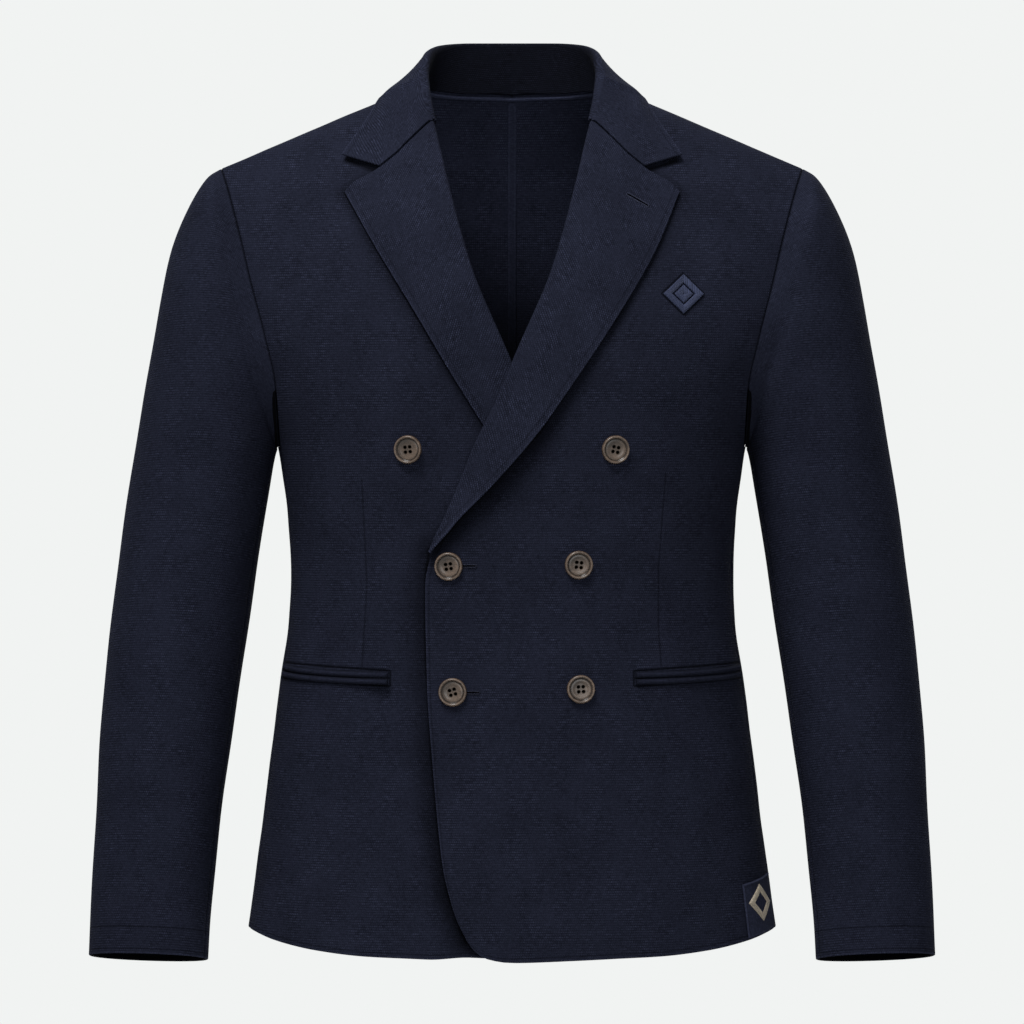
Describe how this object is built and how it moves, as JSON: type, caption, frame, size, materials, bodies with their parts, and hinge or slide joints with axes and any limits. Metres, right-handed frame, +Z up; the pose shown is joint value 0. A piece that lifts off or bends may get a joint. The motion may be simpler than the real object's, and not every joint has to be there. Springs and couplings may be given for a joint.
{
  "type": "blazer",
  "caption": "Navy double-breasted blazer, filled out as if worn and hollow inside, with notched lapels, horn buttons and jetted hip pockets.",
  "frame": {"origin": "between the shoulders at the base of the neck, where the wearer's shoulders hold the garment up", "axes": "+Z up along the garment's length, -Y towards the front, +X towards the wearer's left"},
  "size_m": [0.6732, 0.2656, 0.7415],
  "materials": {
    "navy_cloth": "matte, fine irregular horizontal weave",
    "blue_tape": "matte",
    "lining_tape": "matte",
    "patch": "matte, stitched",
    "blue_thread": "satin stitch",
    "horn": "satin, streaked like horn"
  },
  "bodies": {
    "root": {"front_left": "navy_cloth", "front_right": "navy_cloth", "back_left": "navy_cloth", "back_right": "navy_cloth", "upper_sleeve_left": "navy_cloth", "upper_sleeve_right": "navy_cloth", "under_sleeve_left": "navy_cloth", "under_sleeve_right": "navy_cloth", "collar": "navy_cloth", "lapel_left": "navy_cloth", "lapel_right": "navy_cloth", "jet_upper_left": "navy_cloth", "jet_upper_right": "navy_cloth", "jet_lower_left": "navy_cloth", "jet_lower_right": "navy_cloth", "neck_tape": "blue_tape", "centre_tape": "lining_tape", "hem_patch": "patch", "chest_motif": "blue_thread", "button_1": "horn", "button_2": "horn", "button_3": "horn", "button_4": "horn", "button_5": "horn", "button_6": "horn"}
  },
  "joints": []
}
